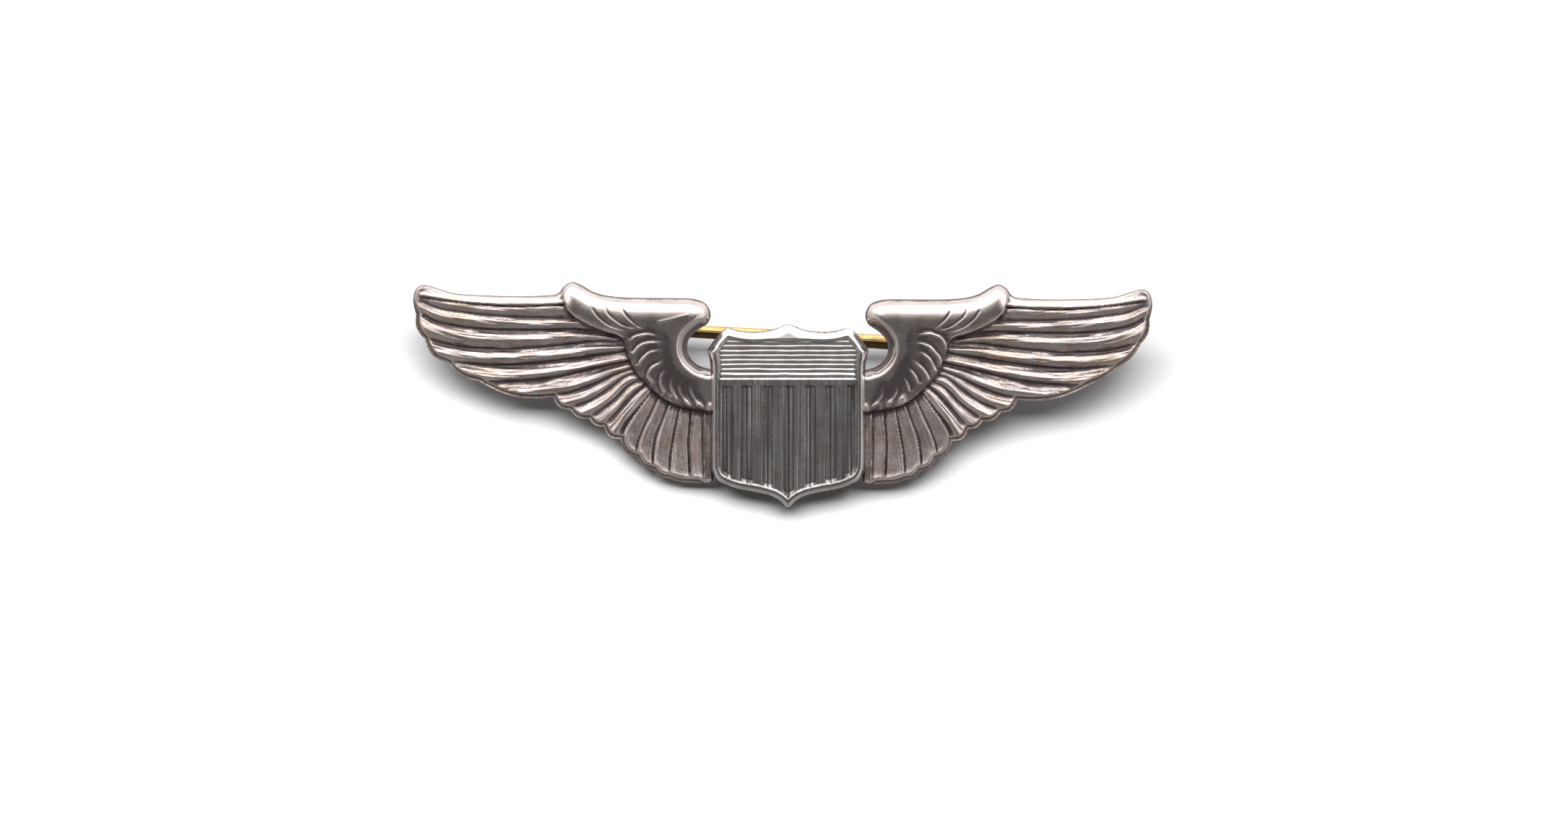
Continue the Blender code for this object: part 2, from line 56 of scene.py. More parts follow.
# The steps of the relief grids, a distance that stands for out of reach, and the size of the noise lattice
GRID_STEP = 0.05
SHIELD_GRID_STEP = GRID_STEP * 0.9
FAR = 99.0
NOISE_CELLS = 256

# How far the relief grids reach, past the outlines that they are cut to
WING_GRID_X = (0.9, 26.3)
WING_GRID_Z = (-10.7, 4.05)
SHIELD_GRID_X = (-5.9, 6.0)
SHIELD_GRID_Z = (-12.2, 1.2)

# How thick a slab is at its border, how far its cutter reaches, and from how many degrees an edge is sharp
SLAB_BORDER = 0.4
CUTTER_FRONT_Y = -6.0
CUTTER_BACK_Y = 3.0
SHARP_EDGE = 50

# The right wing is a little shorter and hangs a little lower
WING_ROOT_X = 5.3
RIGHT_SPAN_SHARE = 0.965
RIGHT_SHIFT = 0.1
RIGHT_DROP = 0.05
RIGHT_DROOP = 0.013

# The outline of a wing
SHOULDER_TOP = [
    (5.9, 0.62), (5.55, 0.85), (5.35, 1.2), (5.3, 1.55), (5.42, 1.95), (5.7, 2.3), (6.2, 2.52),
    (7.0, 2.63), (9.0, 2.65), (11.0, 2.68), (12.4, 2.8), (13.4, 3.07), (14.2, 3.52), (14.85, 3.75),
    (15.4, 3.5), (15.75, 3.05),
]
LEADING_EDGE = [
    (15.75, 3.05), (16.3, 2.85), (18.5, 2.77), (21.0, 2.83), (23.0, 2.97), (24.3, 3.35), (25.2, 3.55),
    (25.7, 3.25), (25.88, 2.6), (25.85, 2.2),
]
TIP_NOTCHES = [
    (25.85, 2.2), (25.68, 1.5), (25.05, -0.22), (23.45, -1.85), (21.4, -3.08), (16.2, -4.22), (15.0, -5.12),
    (13.7, -5.72), (12.7, -6.25), (11.55, -7.12), (10.45, -8.4), (9.3, -9.28), (8.2, -9.85), (6.7, -10.15),
]
LEFT_TIP_BULGES = [0.02, 0.28, 0.4, 0.28, 0.52, 0.3, 0.24, 0.2, 0.32, 0.3, 0.22, 0.18, 0.1]
RIGHT_TIP_BULGES = [0.02, 0.24, 0.2, 0.12, 0.45, 0.3, 0.24, 0.2, 0.32, 0.3, 0.22, 0.18, 0.1]
WING_TAB = [(5.5, -10.22), (5.0, -10.05), (4.5, -9.7), (1.2, -9.5), (1.2, -3.2), (4.6, -2.7), (5.0, -2.3)]
WING_NOTCH = [
    (5.45, -2.24), (6.0, -2.08), (6.4, -1.83), (6.72, -1.5), (6.9, -1.1), (6.93, -0.7), (6.85, -0.3),
    (6.65, 0.02), (6.3, 0.36), (5.9, 0.62),
]

# The grooves between the feathers, each from root to tip, from the leading edge round to the shield
GROOVES = [
    [(15.95, 2.15), (18.5, 2.08), (21.5, 2.2), (24.0, 2.5), (25.4, 2.7)],
    [(15.1, 1.2), (17.5, 1.24), (20.0, 1.33), (22.0, 1.55), (24.0, 1.87), (25.35, 2.4)],
    [(12.9, 0.15), (14.5, 0.42), (17.5, 0.4), (20.0, 0.42), (22.5, 0.58), (24.2, 0.95), (25.35, 1.55)],
    [(11.5, -0.38), (13.5, -0.4), (16.0, -0.68), (19.0, -0.9), (22.0, -0.77), (23.8, -0.45), (24.75, -0.15)],
    [(11.2, -1.05), (13.0, -1.3), (15.5, -1.63), (18.0, -1.93), (20.5, -2.0), (22.3, -1.88), (23.2, -1.75)],
    [(11.0, -1.75), (13.0, -2.12), (15.0, -2.62), (17.0, -2.97), (19.0, -3.1), (20.3, -3.12), (21.1, -3.02)],
    [(10.8, -2.25), (12.0, -2.67), (13.5, -3.38), (15.0, -3.9), (16.0, -4.05)],
    [(10.45, -2.6), (11.2, -2.78), (12.3, -3.6), (13.5, -4.42), (14.85, -4.95)],
    [(10.1, -3.0), (11.0, -3.45), (12.0, -4.45), (12.9, -5.12), (13.6, -5.55)],
    [(9.9, -3.45), (10.6, -4.0), (11.4, -4.85), (12.1, -5.65), (12.6, -6.08)],
    [(9.5, -4.0), (10.2, -4.87), (10.9, -5.8), (11.3, -6.5), (11.45, -6.95)],
    [(9.0, -4.45), (9.5, -5.5), (10.0, -6.55), (10.35, -7.5), (10.4, -8.2)],
    [(8.25, -4.85), (8.7, -6.0), (9.1, -7.1), (9.27, -8.2), (9.27, -9.1)],
    [(7.5, -5.15), (7.7, -6.2), (7.92, -7.3), (8.08, -8.4), (8.15, -9.65)],
    [(6.65, -5.35), (6.72, -6.2), (6.8, -7.3), (6.75, -8.6), (6.65, -9.95)],
    [(5.8, -5.45), (5.82, -6.6), (5.82, -7.9), (5.77, -9.2), (5.7, -10.0)],
]
# For each rounded feather from the leading edge on: where its crest lies between its grooves, and how far the
# crest stands above them. The feathers after them, next to the shield, are flat with a raised edge.
CRESTS = [0.8, 0.36, 0.5, 0.54, 0.6, 0.69, 0.7, 0.6, 0.58, 0.61, 0.56]
SWELLS = [0.34, 0.24, 0.29, 0.34, 0.35, 0.36, 0.31, 0.28, 0.27, 0.27, 0.25]
FIRST_FLAT_FEATHER = 11
FEATHER_FLOOR = 1.05
FEATHER_END_X = 5.15
ROOT_RISE = 0.3
BARB_DEPTH = 0.052
STRAND_DEPTH = 0.036

# The edge of a wing: a thin flange round the feather tips, and the plain tab that runs behind the shield
FLANGE_WIDTH = 0.15
EDGE_HEIGHT = 0.75
EDGE_SLOPE = 3.2
TIP_RIM_HEIGHT = 1.4
NOTCH_DROP = 0.95
TAB_END_X = 5.25
TAB_HEIGHT = 1.0

# The lower edge of the shoulder and coverts, where they step down to the feathers
STEP = [
    (15.9, 4.2), (15.72, 3.4), (15.6, 2.9), (15.4, 2.2), (15.2, 1.75), (14.95, 1.5), (14.5, 1.13),
    (13.7, 0.73), (13.0, 0.42), (12.4, 0.2), (11.75, 0.0), (11.35, -0.35), (11.15, -1.0), (10.9, -1.75),
    (10.6, -2.35), (10.15, -2.95), (9.65, -3.45), (9.05, -4.05), (8.4, -4.52), (7.5, -4.92), (6.6, -5.12),
    (5.3, -5.28), (4.4, -5.3),
]
SHOULDER_FLOOR = 1.15
SHOULDER_RISE = 1.2
SHOULDER_ROUNDNESS = 0.52
# Lines cut in the shoulder
CUTS = [
    [
        (14.7, 1.52), (14.3, 1.24), (13.7, 0.92), (13.0, 0.62), (12.4, 0.4), (11.8, 0.24), (11.0, 0.2),
        (10.3, 0.27),
    ],
    [(13.55, 2.1), (13.2, 1.5), (12.8, 1.1), (12.3, 0.75), (11.6, 0.5), (11.1, 0.45)],
    [(12.6, 2.15), (12.4, 1.6), (12.0, 1.2), (11.5, 0.85), (11.0, 0.65), (10.5, 0.6)],
    [(11.5, 2.0), (11.1, 1.4), (10.7, 1.0), (10.3, 0.7), (9.9, 0.55), (9.5, 0.55)],
]
# A faint raised crease in the left shoulder
LEFT_CREASES = [[(8.9, 0.95), (8.2, 1.1), (7.5, 1.3), (6.9, 1.45)]]
# The raised edges of the small coverts, on each wing
LEFT_CRESCENTS = [
    [(10.85, -0.4), (10.65, -0.15), (10.3, 0.0), (9.6, 0.1), (8.8, -0.1)],
    [(10.7, -1.3), (10.3, -0.8), (9.9, -0.55), (9.3, -0.45), (8.6, -0.5)],
    [(10.2, -2.1), (10.15, -1.8), (9.9, -1.5), (9.5, -1.15), (9.0, -1.05), (8.6, -1.0)],
    [(9.2, -3.3), (9.6, -2.8), (9.5, -2.4), (9.2, -2.1), (8.8, -1.9), (8.4, -1.6)],
    [(8.4, -4.0), (8.7, -3.5), (8.75, -3.0), (8.6, -2.6), (8.2, -2.3)],
    [(7.55, -4.45), (7.85, -4.0), (8.05, -3.5), (8.0, -3.1), (7.8, -2.8)],
    [(6.65, -4.85), (7.0, -4.5), (7.35, -4.0), (7.45, -3.5), (7.3, -3.1)],
    [(5.75, -4.95), (6.2, -4.6), (6.55, -4.1), (6.7, -3.6), (6.6, -3.2)],
]
RIGHT_CRESCENTS = [
    [(11.0, -1.1), (10.9, -0.6), (10.6, -0.15), (10.2, 0.05), (9.7, 0.15), (8.8, 0.0)],
    [(10.6, -2.0), (10.5, -1.55), (10.2, -1.15), (9.8, -0.75), (9.3, -0.55), (8.7, -0.5)],
    [(10.2, -2.5), (10.05, -2.05), (9.75, -1.55), (9.35, -1.25), (8.8, -1.1)],
    [(9.75, -3.1), (9.65, -2.75), (9.35, -2.3), (8.95, -1.95), (8.5, -1.65)],
    [(9.05, -3.4), (8.85, -2.85), (8.55, -2.45), (8.1, -2.15)],
    [(8.4, -3.9), (8.35, -3.5), (8.15, -3.1), (7.9, -2.7)],
    [(6.9, -4.7), (7.3, -4.3), (7.55, -3.8), (7.5, -3.3)],
    [(5.75, -4.95), (6.2, -4.6), (6.55, -4.1), (6.6, -3.5)],
]

# The shield: half of its outline, from the middle of the top to the point at the bottom
SHIELD_CENTRE_X = 0.05
SHIELD_HALF = [
    (0.0, 0.83), (0.5, 0.68), (1.1, 0.45), (2.2, 0.3), (3.2, 0.36), (4.15, 0.58), (4.5, 0.4), (5.05, -0.2),
    (5.58, -0.98), (5.42, -1.6), (5.34, -2.3), (5.36, -4.0), (5.36, -8.6), (5.25, -9.4), (4.95, -9.93),
    (4.4, -10.28), (3.5, -10.6), (2.2, -10.84), (1.2, -11.1), (0.62, -11.42), (0.25, -11.78), (0.0, -11.9),
]
SHIELD_BACK = 1.12
SHIELD_FACE = 2.36
SHIELD_EDGE_HEIGHT = 1.8
# The places of the bars across the shield, and of the sunk pales under them
BAR_HEIGHTS = [-0.44, -0.74, -1.08, -1.4, -1.71, -2.02, -2.35, -2.69]
PALE_CENTRES = [-4.17, -2.78, -1.34, 0.1, 1.6, 3.0, 4.42]
PALE_HALF_WIDTH = 0.41
PALE_TOP = -3.4
PALE_CORNER = 0.2
PALE_DEPTH = 0.065

# How dull the top of each wing's shoulder is
LEFT_DULLNESS = 0.06
RIGHT_DULLNESS = 0.22

# Colours of the metals, each with the colour of its worn or tarnished places, some of them also painted shade
SILVER = (0.87, 0.79, 0.765)
# The dark silver colours are the tarnish in the hollows and also the painted shade
SILVER_TARNISH_AND_SHADE = (0.19, 0.16, 0.168)
SHIELD_SILVER = (0.77, 0.755, 0.755)
SHIELD_TARNISH_AND_SHADE = (0.13, 0.12, 0.12)
# Painted shade on the silver's steep walls
SILVER_WALL_SHADE = (0.3, 0.25, 0.19)
SILVER_DULL = (0.3, 0.245, 0.255)
WORN_SHARE = (0.82, 0.78, 0.76)
WARM_SHARE = (0.8, 0.68, 0.52)
BRASS = (0.8, 0.56, 0.25)
BRASS_WORN = (0.6, 0.41, 0.17)
PLATE = (0.66, 0.64, 0.62)
PLATE_WORN = (0.5, 0.48, 0.45)
SOLDER = (0.5, 0.5, 0.5)
SOLDER_WORN = (0.36, 0.36, 0.35)
# How dark the painted shade on the findings' downward faces is
DOWNWARD_SHADE_SHARE = 0.12
CARD_WHITE = (0.86, 0.86, 0.87, 1.0)
FLOOR_GREY = (0.8, 0.8, 0.8, 1.0)
PAPER_ROUGHNESS = 0.9

# The card leans back from the lower edge of the wings, and turns a little; the floor lies far below
CARD_SLOPE = 0.38
CARD_TURN = 0.03
CARD_GAP = 0.5
CARD_EDGE_Z = -10.2
CARD_HALF_WIDTH = 90
CARD_BOTTOM = -75
CARD_TOP = 65
FLOOR_Z = -80
FLOOR_REACH = 600

# The colours of the room, as it lights the metal and as it is seen
ROOM_TINT = (1.0, 0.975, 0.955, 1.0)
ROOM_SEEN = (0.9, 0.9, 0.91, 1.0)
ROOM_SEEN_STRENGTH = 0.9

# The lamp, in metres and watts
LAMP_WIDTH = 0.65
LAMP_DEPTH = 0.3
LAMP_POWER = 4.6
LAMP_PLACE = (-0.03, -0.44, 0.26)

# The camera: how wide the view is at the front of the badge, and where its middle lies
LENS = 200
SENSOR_WIDTH = 36
VIEW_WIDTH = 108.25
VIEW_MIDDLE = (-0.225, -2.0, -5.175)
CAMERA_REACH = 10.0


def catmull_rom(points, steps):
    """Points of a smooth curve through a list of points, as an array."""
    path = np.array(points, float)
    path = np.vstack([2 * path[0] - path[1], path, 2 * path[-1] - path[-2]])
    curve = []
    for index in range(1, len(path) - 2):
        before, start, end, after = path[index - 1:index + 3]
        for step in range(steps):
            t = step / steps
            square = (2 * before - 5 * start + 4 * end - after) * t ** 2
            cube = (3 * start - before - 3 * end + after) * t ** 3
            curve.append(0.5 * (2 * start + (end - before) * t + square + cube))
    curve.append(path[-2])
    return np.array(curve)


def lengthen(curve, before, after):
    """A curve carried straight on past its two ends."""
    first = curve[0] - curve[1]
    last = curve[-1] - curve[-2]
    head = curve[0] + first / np.linalg.norm(first) * before
    tail = curve[-1] + last / np.linalg.norm(last) * after
    return np.vstack([head, curve, tail])


def measure(curve, x, z, reach):
    """Signed distance from a curve (positive on the right of its travel) and length along it, on a grid.

    Places further away than reach get a large distance.
    """
    low = curve.min(0) - reach
    high = curve.max(0) + reach
    near = (x > low[0]) & (x < high[0]) & (z > low[1]) & (z < high[1])
    near_x = x[near]
    near_z = z[near]
    best = np.full(near_x.shape, FAR ** 2)
    side = np.ones(near_x.shape)
    along = np.zeros(near_x.shape)
    travelled = 0.0
    for start, end in zip(curve, curve[1:]):
        step = end - start
        length = np.hypot(*step)
        unit = step / length
        from_x = near_x - start[0]
        from_z = near_z - start[1]
        reached = np.clip(from_x * unit[0] + from_z * unit[1], 0.0, length)
        gap = (from_x - reached * unit[0]) ** 2 + (from_z - reached * unit[1]) ** 2
        closer = gap < best
        best = np.where(closer, gap, best)
        turn = np.where(unit[0] * from_z - unit[1] * from_x > 0, -1.0, 1.0)
        side = np.where(closer, turn, side)
        along = np.where(closer, travelled + reached, along)
        travelled += length
    distance = np.full(x.shape, FAR)
    distance[near] = np.sqrt(best) * side
    lengthwise = np.zeros(x.shape)
    lengthwise[near] = along
    return distance, lengthwise


def ramp(value, low, high):
    """A smooth step from 0 to 1 as value goes from low to high."""
    t = np.clip((value - low) / (high - low), 0.0, 1.0)
    return t * t * (3 - 2 * t)


def soft_minimum(a, b, width):
    """The lower of two heights, rounded where they meet."""
    return np.minimum(a, b) - np.maximum(width - np.abs(a - b), 0.0) ** 2 / (4 * width)


def bump_at(distance, width):
    """A round ridge that is 1 high on a line and fades over its width."""
    return np.exp(-(distance / width) ** 2)


def blurred(field, sigma):
    """A field smoothed over sigma grid steps."""
    reach = int(math.ceil(3 * sigma))
    taps = np.exp(-0.5 * (np.arange(-reach, reach + 1) / sigma) ** 2)
    taps /= taps.sum()
    for axis in (0, 1):
        padding = [(reach, reach) if axis == side else (0, 0) for side in (0, 1)]
        padded = np.pad(field, padding, mode="edge")
        total = np.zeros_like(field)
        for index, tap in enumerate(taps):
            window = [slice(None), slice(None)]
            window[axis] = slice(index, index + field.shape[axis])
            total += tap * padded[tuple(window)]
        field = total
    return field


def value_noise(u, v, seed):
    """Smooth noise from -1 to 1 over two coordinates, one lattice cell for each unit."""
    size = NOISE_CELLS + 1
    lattice = np.random.default_rng(seed).uniform(-1.0, 1.0, (size, size))
    column = np.floor(u).astype(int)
    row = np.floor(v).astype(int)
    across = u - column
    up = v - row
    across = across * across * (3 - 2 * across)
    up = up * up * (3 - 2 * up)
    column %= NOISE_CELLS
    row %= NOISE_CELLS
    low = lattice[column, row] * (1 - across) + lattice[column + 1, row] * across
    high = lattice[column, row + 1] * (1 - across) + lattice[column + 1, row + 1] * across
    return low * (1 - up) + high * up


def tip_outline(bulges):
    """The scalloped line of the feather tips."""
    line = []
    for start, end, bulge in zip(TIP_NOTCHES, TIP_NOTCHES[1:], bulges):
        start = np.array(start)
        chord = np.array(end) - start
        outwards = np.array((-chord[1], chord[0])) / np.hypot(*chord)
        if outwards @ (start - np.array((12.0, 2.0))) < 0:
            outwards = -outwards
        steps = max(3, int(np.hypot(*chord) / 0.25))
        for step in range(steps):
            share = step / steps
            line.append(start + chord * share + outwards * bulge * math.sin(math.pi * share))
    line.append(np.array(TIP_NOTCHES[-1]))
    return np.array(line)


def wing_outline(bulges):
    """The whole outline of a wing, as a closed ring of points without a repeated end."""
    tab = np.array(WING_TAB)
    parts = [
        catmull_rom(SHOULDER_TOP, 6)[:-1], catmull_rom(LEADING_EDGE, 6)[:-1], tip_outline(bulges), tab,
        catmull_rom(WING_NOTCH, 5)[:-1],
    ]
    return np.vstack(parts)


def feather_lanes(x, z):
    """Each place's feather, its share of the way across it, its length along it and the feather's width."""
    top, top_along = measure(lengthen(catmull_rom(LEADING_EDGE, 6), 1.0, 0.5), x, z, 2.5)
    distances = [top]
    lengths = [top_along]
    for groove in GROOVES:
        distance, along = measure(lengthen(catmull_rom(groove, 8), 1.5, 2.5), x, z, 2.6)
        distances.append(distance)
        lengths.append(along)
    distances.append(FEATHER_END_X - x)
    lengths.append(-5.45 - z)
    distances = np.array(distances)
    lengths = np.array(lengths)
    nearest = np.argmin(np.abs(distances[:-1]), axis=0)
    chosen = np.take_along_axis(distances, nearest[None], 0)[0]
    feather = np.clip(np.where(chosen >= 0, nearest, nearest - 1), 0, len(GROOVES))
    upper = np.abs(np.take_along_axis(distances, feather[None], 0)[0])
    lower = np.abs(np.take_along_axis(distances, feather[None] + 1, 0)[0])
    across = upper / np.maximum(upper + lower, 1e-6)
    upper_length = np.take_along_axis(lengths, feather[None], 0)[0]
    lower_length = np.take_along_axis(lengths, feather[None] + 1, 0)[0]
    along = upper_length * (1 - across) + lower_length * across
    width = np.minimum(upper + lower, 3.0)
    return feather, across, along, width


def feather_fields(x, z):
    """The relief of the feathers, with each place's length along them, number across them and streaks."""
    feather, across, along, width = feather_lanes(x, z)
    rounded = np.minimum(feather, FIRST_FLAT_FEATHER - 1)
    crest = np.array(CRESTS)[rounded]
    swell = np.array(SWELLS)[rounded]
    ridge = np.sin(math.pi * np.clip(across, 0.0, 1.0) ** (math.log(0.5) / np.log(crest))) * swell
    rim = bump_at(across - 0.11, 0.06) * 0.12
    face = (0.22 - 0.13 * across) * ramp(across, 0.0, 0.07) * (1 - ramp(across, 0.88, 1.0)) + rim
    flat = feather >= FIRST_FLAT_FEATHER
    height = FEATHER_FLOOR + np.where(flat, face, ridge) * np.clip(width / 0.8, 0.3, 1.1)
    root = ROOT_RISE * np.exp(-np.maximum(along - 1.5, 0.0) / 3.0)
    height += np.where(flat, 0.085 * np.clip(along - 1.5, 0.0, 5.0), root)

    place = feather + across
    slant = place + 0.03 * along
    strand = value_noise(along / 3.2, slant * 8.0 + 31 * feather, 5)
    barbs = value_noise(along / 1.6, slant * 11.0 + 17 * feather, 6)
    upper_side = np.where(flat, 0.2, 1 - 0.6 * ramp(across, crest, crest + 0.2))
    upper_side = upper_side * np.where(feather == 0, 0.12, 1.0)
    height += (STRAND_DEPTH * strand + BARB_DEPTH * barbs) * upper_side * np.clip(width / 0.9, 0.2, 1.0)
    streaks = value_noise(along / 1.9, slant * 9.0 + 23 * feather, 7) * upper_side
    return height, along, place, streaks


def shoulder_height(x, z, crescents, creases):
    """The relief of the smooth shoulder and of the small coverts under it, and how dark it is, with painted
    shade by its cuts and coverts.
    """
    from_top, _ = measure(catmull_rom(SHOULDER_TOP[3:], 6), x, z, 3.0)
    depth = np.minimum(np.abs(from_top), 2.95)
    height = SHOULDER_FLOOR + SHOULDER_RISE * (1 - np.exp(-depth / SHOULDER_ROUNDNESS))
    height -= 0.11 * np.clip(depth - 1.0, 0.0, 1.95)
    height -= 0.07 * np.clip(-0.5 - z, 0.0, 4.5)
    shade = np.zeros(x.shape)
    for cut in CUTS:
        distance, along = measure(catmull_rom(cut, 6), x, z, 0.6)
        fade = ramp(along, 0.0, 0.35) * (1 - 0.6 * ramp(along, 2.2, 3.4))
        height -= 0.05 * bump_at(distance, 0.065) * fade
        # Painted shade along one side of each cut
        shade = np.maximum(shade, 0.9 * bump_at(distance - 0.08, 0.08) * fade)
    for crease in creases:
        distance, _ = measure(catmull_rom(crease, 5), x, z, 0.6)
        height += 0.03 * bump_at(distance, 0.08)
    lines = np.zeros(x.shape)
    for crescent in crescents:
        curve = catmull_rom(crescent, 6)
        distance, along = measure(curve, x, z, 0.9)
        total = np.hypot(*np.diff(curve, axis=0).T).sum()
        fade = ramp(along, 0.0, 0.2) * (1 - ramp(along, total - 0.9, total))
        height += 0.075 * bump_at(distance, 0.055) * fade
        height -= 0.06 * bump_at(distance - 0.2, 0.14) * fade
        # Patina and painted shade inside each crescent and over the coverts round them
        shade = np.maximum(shade, bump_at(distance - 0.26, 0.22) * fade)
        shade = np.maximum(shade, 0.75 * ramp(-np.abs(distance), -0.85, -0.35))
        lines = np.maximum(lines, bump_at(distance, 0.06) * fade)
    return height, shade - 0.55 * lines


def finish_edge(height, x, z, edge, notch, flange):
    """A wing's relief brought down to its edge, its notch and its tab."""
    rim = ramp(x, 24.8, 25.3) * bump_at(edge - 0.15, 0.22)
    height = height * (1 - rim) + TIP_RIM_HEIGHT * rim
    height = blurred(height, 0.75)
    rise = EDGE_SLOPE * np.maximum(edge - flange, 0.0) + 0.25 * np.maximum(flange - edge, 0.0)
    height = soft_minimum(height, EDGE_HEIGHT + rise, 0.2)
    height -= NOTCH_DROP * bump_at(notch, 0.38)
    tips = ramp(-z, 6.4, 7.6) * ramp(x, 5.6, 6.0)
    height += 0.08 * bump_at(edge - 0.2, 0.3) * tips
    return np.where(x < TAB_END_X, TAB_HEIGHT, height)


def wing_wall_shade(x, z, edge, notch, flange, step):
    """How much painted shade lies where a wing's metal falls steeply: round its edge, most on the upper part
    of its notch, and at the head of the shoulder.
    """
    upright = ramp(z, -1.9, -1.0)
    head = ramp(z, 1.5, 2.1) * ramp(x, 14.6, 15.1)
    wall_shade = 0.6 * np.clip(1 - np.abs(edge - 1.4 * flange) / 0.22, 0.0, 1.0)
    wall_shade += np.clip(1.5 - notch / 0.5, 0.0, 1.0) * (0.2 + 0.8 * upright)
    wall_shade += 0.6 * bump_at(step - 0.08, 0.18) * head
    return np.clip(wall_shade, 0.0, 1.0)


def wing_stain_and_shade(x, z, shade, share, step, streaks, dullness):
    """How dark a wing's metal is, apart from its hollows, with painted shade. The share is 1 on the shoulder.
    """
    shoulder_stain = value_noise(x * 1.7 + 5.0, z * 0.45 + 40.0, 21)
    feather_stain = value_noise(x * 1.6, z * 0.9 + 40.0, 22)
    stain = shoulder_stain * share + feather_stain * (1 - share)
    # Painted shade along the step under the shoulder
    step_shade = 1.1 * bump_at(step - 0.07, 0.17) * ramp(2.4 - z, 0.0, 1.6)
    lower_body = 0.06 * share * ramp(0.8 - z, 0.0, 0.8)
    streaked = 0.4 * np.maximum(streaks, 0.0) * (1 - share)
    stain_and_shade = shade * share + 0.22 * stain + step_shade + lower_body + streaked
    stain_and_shade += dullness * share * ramp(z, 0.8, 1.6)
    # Painted shade on the first flat feathers below the coverts
    stain_and_shade += 0.2 * ramp(x, 7.6, 9.4) * ramp(-z, 4.5, 5.6) * ramp(10.6 - x, 0.0, 0.8)
    return stain_and_shade


def wing_fields(crescents, creases, dullness, ring):
    """The grid over a wing, its height and the values that the colour of its metal, with its painted shade,
    comes from.
    """
    xs = np.arange(*WING_GRID_X, GRID_STEP)
    zs = np.arange(*WING_GRID_Z, GRID_STEP)
    x, z = np.meshgrid(xs, zs, indexing="ij")
    height, along, place, streaks = feather_fields(x, z)
    body, shade = shoulder_height(x, z, crescents, creases)
    step, _ = measure(catmull_rom(STEP, 5), x, z, 30.0)
    lobes = 0.5 + 0.5 * np.cos(2 * math.pi * (x - 6.15) / 0.92)
    body += 0.12 * bump_at(step - 0.42, 0.22) * ramp(8.6 - x, 0.0, 0.8) * lobes
    share = ramp(step, -0.06, 0.14)
    height = height * (1 - share) + body * share

    outline, _ = measure(np.vstack([ring, ring[:1]]), x, z, 1.5)
    edge = np.clip(outline, 0.0, 1.5)
    notch, _ = measure(catmull_rom(WING_NOTCH, 5), x, z, 4.0)
    notch = np.abs(notch)
    flange = FLANGE_WIDTH * ramp(2.6 - z, 0.0, 1.0) * ramp(x, 5.6, 6.2)
    height = finish_edge(height, x, z, edge, notch, flange)

    hollow = blurred(height, 6.0) - height
    scratches = (blurred(height, 1.6) - height) * (1 - share)
    # The stains here come with painted shade
    stain = wing_stain_and_shade(x, z, shade, share, step, streaks, dullness)
    rubbed_rim = np.clip((flange - edge + 0.05) / 0.06, 0.0, 1.0) * np.clip(flange / 0.1, 0.0, 1.0)
    values = {
        "recess_and_shade": np.clip(hollow / 0.22 + 24.0 * scratches + stain, -1.0, 1.0) * (1 - rubbed_rim),
        "wall_shade": wing_wall_shade(x, z, edge, notch, flange, step),
        "along": along,
        "across": place,
        "feather": 1 - share,
    }
    return xs, zs, height, values


def slab(name, xs, zs, height, back):
    """A closed block whose front (towards -Y) has the given heights and whose back lies at y = -back."""
    rows, columns = height.shape
    height = height.copy()
    for border in (np.s_[0, :], np.s_[-1, :], np.s_[:, 0], np.s_[:, -1]):
        height[border] = back + SLAB_BORDER
    x, z = np.meshgrid(xs, zs, indexing="ij")
    front = np.stack([x, -height, z], axis=-1).reshape(-1, 3)
    left, right = xs[0], xs[-1]
    bottom, top = zs[0], zs[-1]
    corners = [(left, -back, bottom), (right, -back, bottom), (right, -back, top), (left, -back, top)]
    number = np.arange(rows * columns).reshape(rows, columns)
    quads = np.stack([number[:-1, :-1], number[1:, :-1], number[1:, 1:], number[:-1, 1:]], axis=-1)
    faces = quads.reshape(-1, 4).tolist()
    a, b, c, d = range(rows * columns, rows * columns + 4)
    faces.append(number[::-1, 0].tolist() + [a, b])
    faces.append(number[-1, ::-1].tolist() + [b, c])
    faces.append(number[:, -1].tolist() + [c, d])
    faces.append(number[0, :].tolist() + [d, a])
    faces.append([d, c, b, a])
    mesh = bpy.data.meshes.new(name)
    mesh.from_pydata(np.vstack([front, corners]).tolist(), [], faces)
    mesh.validate()
    item = bpy.data.objects.new(name, mesh)
    bpy.context.scene.collection.objects.link(item)
    return item


def upright_prism(ring, front, back):
    """A closed prism on an (x, z) ring, from y = front to y = back."""
    count = len(ring)
    points = [(x, front, z) for x, z in ring] + [(x, back, z) for x, z in ring]
    faces = [list(range(count)), list(range(2 * count - 1, count - 1, -1))]
    for index in range(count):
        following = (index + 1) % count
        faces.append([following, index, count + index, count + following])
    mesh = bpy.data.meshes.new("prism")
    mesh.from_pydata(points, [], faces)
    item = bpy.data.objects.new("prism", mesh)
    bpy.context.scene.collection.objects.link(item)
    return item


def point_outwards(mesh):
    """Turns every face of a closed mesh outwards."""
    form = bmesh.new()
    form.from_mesh(mesh)
    bmesh.ops.recalc_face_normals(form, faces=form.faces)
    form.to_mesh(mesh)
    form.free()


def sample_grid(field, xs, zs, at_x, at_z):
    """Values of a grid field at places, by bilinear interpolation."""
    u = np.clip((at_x - xs[0]) / (xs[1] - xs[0]), 0, len(xs) - 1.001)
    v = np.clip((at_z - zs[0]) / (zs[1] - zs[0]), 0, len(zs) - 1.001)
    i = u.astype(int)
    j = v.astype(int)
    across = u - i
    up = v - j
    low = field[i, j] * (1 - across) + field[i + 1, j] * across
    high = field[i, j + 1] * (1 - across) + field[i + 1, j + 1] * across
    return low * (1 - up) + high * up


